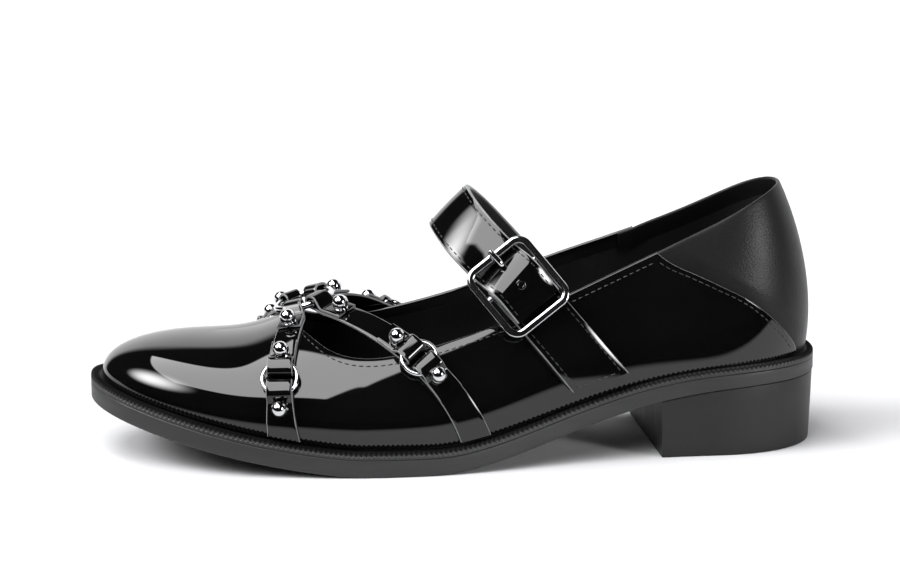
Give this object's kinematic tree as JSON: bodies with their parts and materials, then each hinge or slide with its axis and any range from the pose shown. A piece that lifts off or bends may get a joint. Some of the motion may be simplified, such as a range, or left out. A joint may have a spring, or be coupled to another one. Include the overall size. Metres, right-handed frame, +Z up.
{
  "type": "mary jane shoe",
  "caption": "Low-heeled patent mary jane for the left foot, with a buckled instep strap, a ribbed welt and a vamp harness of narrow straps, rings and ball studs.",
  "frame": {"origin": "centre of the bounding box, on the floor that the shoe stands on", "axes": "+X towards the heel, toe at -X; +Y towards the inner (medial) side; +Z up"},
  "size_m": [0.266, 0.1032, 0.0961],
  "materials": {
    "sole_rubber": "matte moulded rubber with fine horizontal texture",
    "heel_rubber": "matte rubber block, slightly darker than the sole",
    "welt_rubber": "ribbed strip, satin",
    "lining": "smooth matte lining leather",
    "patent": "patent leather, mirror-like gloss",
    "metal": "polished nickel plate"
  },
  "bodies": {
    "root": {"big_ring": "metal", "buckle": "metal", "buckle_strap": "patent", "front_inner_lower_strap": "patent", "front_inner_lower_stud": "metal", "front_inner_middle_stud": "metal", "front_inner_ring": "metal", "front_inner_upper_strap": "patent", "front_inner_upper_stud": "metal", "front_outer_lower_strap": "patent", "front_outer_lower_stud": "metal", "front_outer_middle_stud": "metal", "front_outer_ring": "metal", "front_outer_upper_strap": "patent", "front_outer_upper_stud": "metal", "heel": "heel_rubber", "insole": "lining", "instep_strap": "patent", "outsole": "sole_rubber", "prong": "metal", "rear_inner_lower_strap": "patent", "rear_inner_lower_stud": "metal", "rear_inner_middle_stud": "metal", "rear_inner_ring": "metal", "rear_inner_upper_strap": "patent", "rear_inner_upper_stud": "metal", "rear_outer_lower_strap": "patent", "rear_outer_lower_stud": "metal", "rear_outer_middle_stud": "metal", "rear_outer_ring": "metal", "rear_outer_upper_strap": "patent", "rear_outer_upper_stud": "metal", "upper": "patent", "welt": "welt_rubber"}
  },
  "joints": []
}
